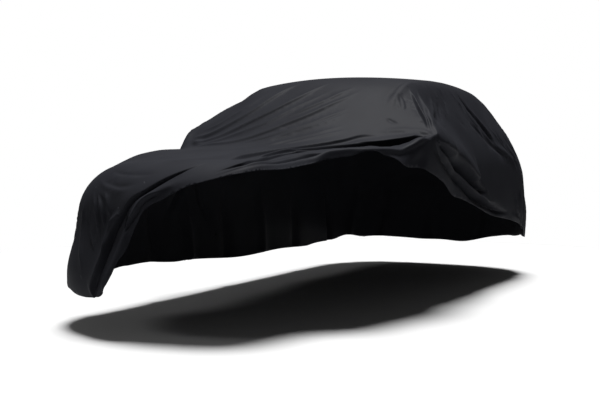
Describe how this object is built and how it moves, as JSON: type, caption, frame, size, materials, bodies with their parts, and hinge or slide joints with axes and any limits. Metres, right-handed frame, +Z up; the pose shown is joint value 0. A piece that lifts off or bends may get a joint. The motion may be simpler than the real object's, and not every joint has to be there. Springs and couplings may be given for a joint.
{
  "type": "car cover",
  "caption": "Thin black stretch cloth cover shaped to a small hatchback, drawn back over one front corner, with peaks over both wings and a gathered fold along its hem.",
  "frame": {"origin": "the point on the underside of the cover's roof that rests on the roof below it, on the middle line", "axes": "+Z up, +Y from the nose of the cover towards its tail, +X to the side that is drawn back"},
  "size_m": [1.9712, 4.5528, 1.3988],
  "materials": {
    "cloth": "smooth black stretch knit with a soft satin sheen"
  },
  "bodies": {
    "root": {"cover": "cloth"}
  },
  "joints": []
}
